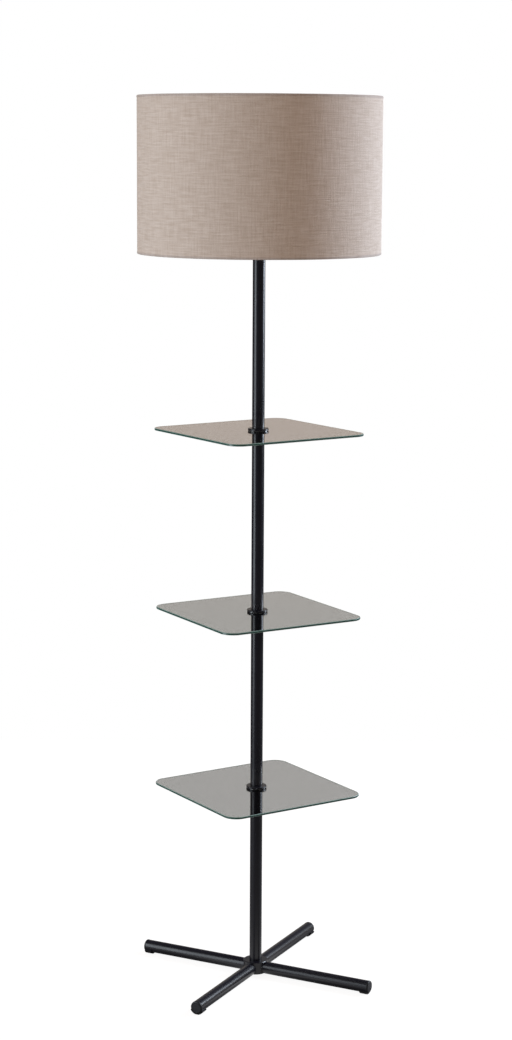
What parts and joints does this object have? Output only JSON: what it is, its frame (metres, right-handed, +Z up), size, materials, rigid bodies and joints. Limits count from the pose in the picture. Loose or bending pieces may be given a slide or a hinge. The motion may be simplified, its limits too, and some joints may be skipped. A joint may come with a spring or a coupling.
{
  "type": "shelf floor lamp",
  "caption": "Floor lamp with square glass shelves along its pole, a cloth drum shade on top and a cross-shaped base of round tubes.",
  "frame": {"origin": "on the floor, under the pole's axis", "axes": "+Z up along the pole, -Y towards the front of the picture, +X to its right"},
  "size_m": [0.4219, 0.422, 1.5763],
  "materials": {
    "steel_black": "satin black powder coat",
    "glass_smoke": "grey smoked float glass, polished faces, ground edges",
    "plastic_black": "fine matt moulded black",
    "rubber_black": "matt black",
    "gasket_clear": "translucent soft washer",
    "steel_zinc": "bright zinc plate",
    "brass": "bright stamped brass",
    "socket_black": "glossy moulded black",
    "ceramic_white": "unglazed white",
    "bulb_metal": "plain, rolled thread",
    "bulb_white": "smooth white",
    "bulb_frost": "frosted white",
    "shade_linen": "slubbed linen weave, taupe",
    "shade_lining": "white translucent lining",
    "wire_white": "white enamel",
    "lead_white": "soft sheath"
  },
  "bodies": {
    "stand": {"base_hub": "steel_black", "base_nipple": "steel_zinc", "base_washer": "steel_zinc", "bulb_base": "bulb_metal", "bulb_body": "bulb_white", "bulb_globe": "bulb_frost", "centre_contact": "brass", "cord_grommet": "rubber_black", "foot_cap_back": "plastic_black", "foot_cap_front": "plastic_black", "foot_cap_left": "plastic_black", "foot_cap_right": "plastic_black", "inner_lead": "lead_white", "leg_bolts": "steel_zinc", "leg_root_plugs": "steel_zinc", "leg_tube_back": "steel_black", "leg_tube_front": "steel_black", "leg_tube_left": "steel_black", "leg_tube_right": "steel_black", "lower_flange_over": "steel_black", "lower_flange_under": "steel_black", "lower_gasket_over": "gasket_clear", "lower_gasket_under": "gasket_clear", "lower_shelf_sleeve": "gasket_clear", "middle_flange_over": "steel_black", "middle_flange_under": "steel_black", "middle_gasket_over": "gasket_clear", "middle_gasket_under": "gasket_clear", "middle_shelf_sleeve": "gasket_clear", "nipple_nuts": "steel_zinc", "pole_inserts": "steel_zinc", "pole_tube_first": "steel_black", "pole_tube_second": "steel_black", "pole_tube_third": "steel_black", "pole_tube_top": "steel_black", "screw_shell": "brass", "shade_ring_nut": "socket_black", "shelf_nipples": "steel_zinc", "socket_body": "socket_black", "socket_cap": "steel_black", "socket_insulator": "ceramic_white", "switch_core": "socket_black", "top_nipple": "steel_zinc", "upper_flange_over": "steel_black", "upper_flange_under": "steel_black", "upper_gasket_over": "gasket_clear", "upper_gasket_under": "gasket_clear", "upper_shelf_sleeve": "gasket_clear"},
    "lower_shelf": {"lower_shelf_glass": "glass_smoke"},
    "middle_shelf": {"middle_shelf_glass": "glass_smoke"},
    "upper_shelf": {"upper_shelf_glass": "glass_smoke"},
    "switch": {"switch_stem": "steel_zinc", "switch_knob": "socket_black"},
    "shade": {"shade_cloth": "shade_linen", "shade_liner": "shade_lining", "shade_bottom_wire": "wire_white", "shade_top_wire": "wire_white", "shade_spider": "wire_white"}
  },
  "joints": [
    {"name": "lower_shelf_turn", "type": "hinge", "parent": "stand", "child": "lower_shelf", "pos_m": [0, 0, 0.3486], "axis": [0, 0, 1], "continuous": true},
    {"name": "middle_shelf_turn", "type": "hinge", "parent": "stand", "child": "middle_shelf", "pos_m": [0, 0, 0.6727], "axis": [0, 0, 1], "continuous": true},
    {"name": "upper_shelf_turn", "type": "hinge", "parent": "stand", "child": "upper_shelf", "pos_m": [0, 0, 0.9968], "axis": [0, 0, 1], "continuous": true},
    {"name": "shade_turn", "type": "hinge", "parent": "stand", "child": "shade", "pos_m": [0, 0, 1.3891], "axis": [0, 0, 1], "continuous": true},
    {"name": "switch_turn", "type": "hinge", "parent": "stand", "child": "switch", "pos_m": [0.0265, 0, 1.3701], "axis": [1, 0, 0], "continuous": true}
  ]
}
